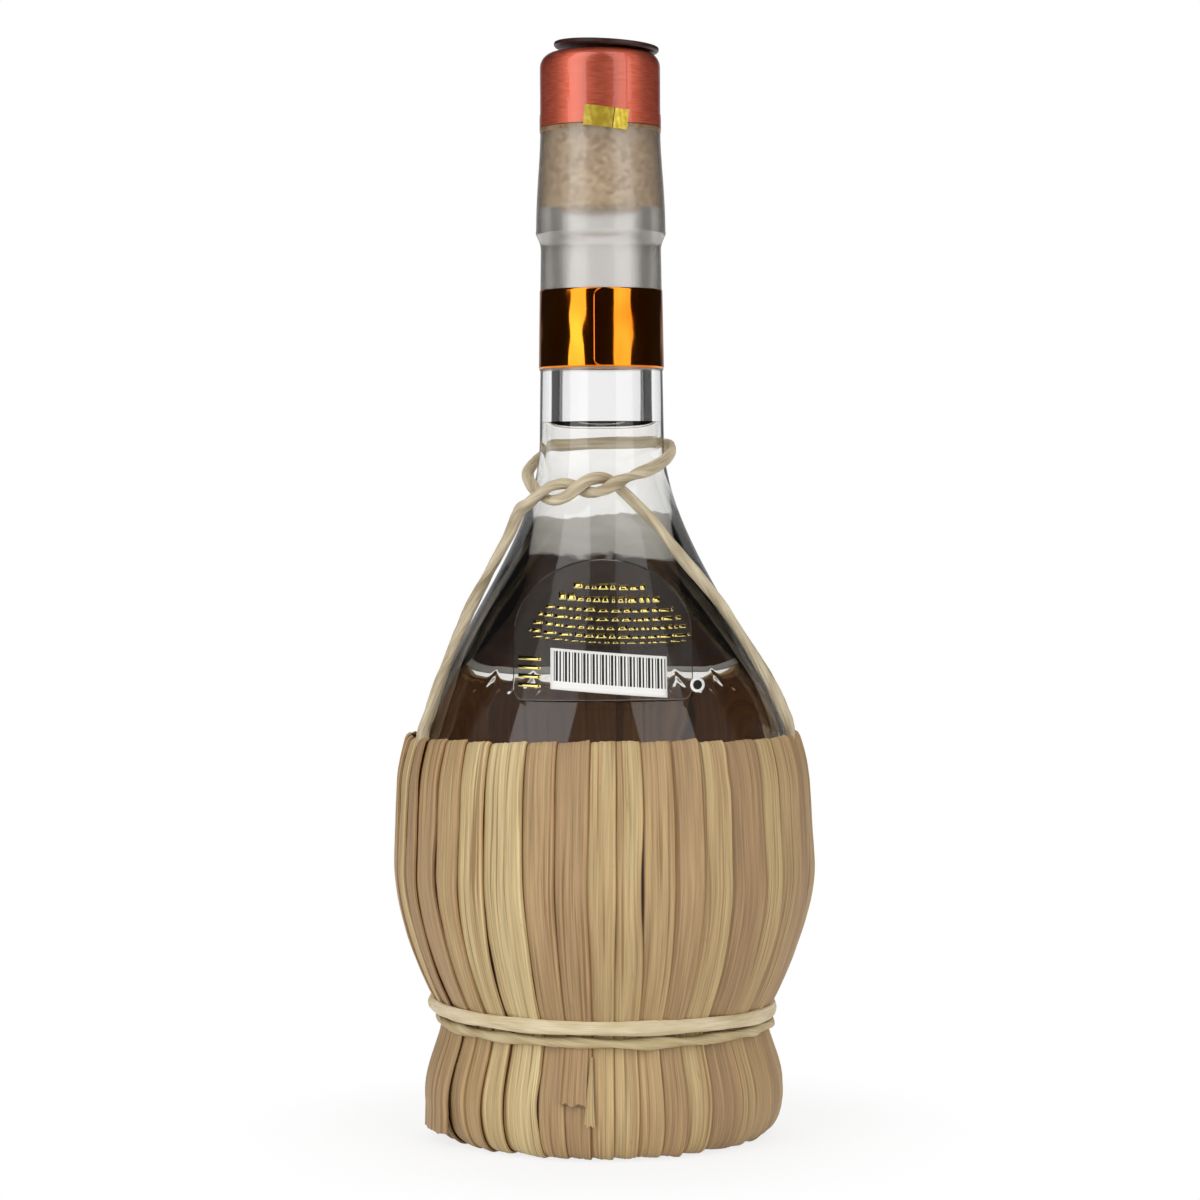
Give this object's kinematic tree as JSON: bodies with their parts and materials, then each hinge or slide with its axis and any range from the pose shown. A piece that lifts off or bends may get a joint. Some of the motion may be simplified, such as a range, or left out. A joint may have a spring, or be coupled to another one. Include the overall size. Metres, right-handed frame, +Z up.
{
  "type": "chianti fiasco bottle",
  "caption": "Clear glass fiasco bottle with a shingled straw leaf basket, a waist cord, a twisted neck cord, film capsule and lift-off T-stopper.",
  "frame": {"origin": "centre of the base ring's flat underside, on the surface that the bottle stands on", "axes": "+Z up along the bottle's axis; the back of the bottle, with the neck cord's twist and the back label, faces -Y; +X is to the right as seen from there"},
  "size_m": [0.1004, 0.1004, 0.2609],
  "materials": {
    "clear_glass": "clear flint glass, pressed and blown, smooth",
    "straw": "dried leaf straw, matte, fine lengthwise grain",
    "waist_raffia": "twisted raffia cord, pale, matte",
    "neck_raffia": "twisted raffia cord, pale, matte",
    "back_label_film": "clear self-adhesive film with plain gold rules",
    "front_label_paper": "rough-edged paper, dark field with a pale border",
    "shrink_film": "frosted translucent shrink film",
    "metallised_band": "copper-gold metallised film, glossy",
    "tear_tape": "yellow glossy tear tape",
    "dark_disc": "dark brown glossy film disc",
    "red_metal": "satin red anodised metal",
    "black_insert": "moulded polyethylene",
    "cork": "fine micro-agglomerated cork"
  },
  "bodies": {
    "bottle": {"glass_bottle": "clear_glass", "base_ring": "straw", "waist_cord": "waist_raffia", "neck_cord": "neck_raffia", "back_label": "back_label_film", "front_label": "front_label_paper", "capsule_sleeve": "shrink_film", "neck_band": "metallised_band", "tear_strip": "shrink_film", "tear_tab_root": "tear_tape", "leaf_01": "straw", "leaf_02": "straw", "leaf_03": "straw", "leaf_04": "straw", "leaf_05": "straw", "leaf_06": "straw", "leaf_07": "straw", "leaf_08": "straw", "leaf_09": "straw", "leaf_10": "straw", "leaf_11": "straw", "leaf_12": "straw", "leaf_13": "straw", "leaf_14": "straw", "leaf_15": "straw", "leaf_16": "straw", "leaf_17": "straw", "leaf_18": "straw", "leaf_19": "straw", "leaf_20": "straw", "leaf_21": "straw", "leaf_22": "straw", "leaf_23": "straw", "leaf_24": "straw", "leaf_25": "straw", "leaf_26": "straw", "leaf_27": "straw", "leaf_28": "straw", "leaf_29": "straw", "leaf_30": "straw", "leaf_31": "straw", "leaf_32": "straw", "leaf_33": "straw", "leaf_34": "straw", "leaf_35": "straw", "leaf_36": "straw", "leaf_37": "straw", "leaf_38": "straw", "leaf_39": "straw", "leaf_40": "straw"},
    "stopper": {"stopper_shell": "red_metal", "stopper_core": "black_insert", "stopper_shank": "cork", "capsule_crown": "shrink_film", "capsule_top_disc": "dark_disc"},
    "tab": {"tear_tab": "tear_tape"}
  },
  "joints": [
    {"name": "stopper_pull", "type": "slide", "parent": "bottle", "child": "stopper", "axis": [0, 0, 1], "range_m": [0, 0.03]},
    {"name": "tab_peel", "type": "hinge", "parent": "bottle", "child": "tab", "pos_m": [0.00322, -0.01427, 0.2411], "axis": [-0.1189, -0.0268, -0.9925], "range_deg": [0, 100]}
  ]
}
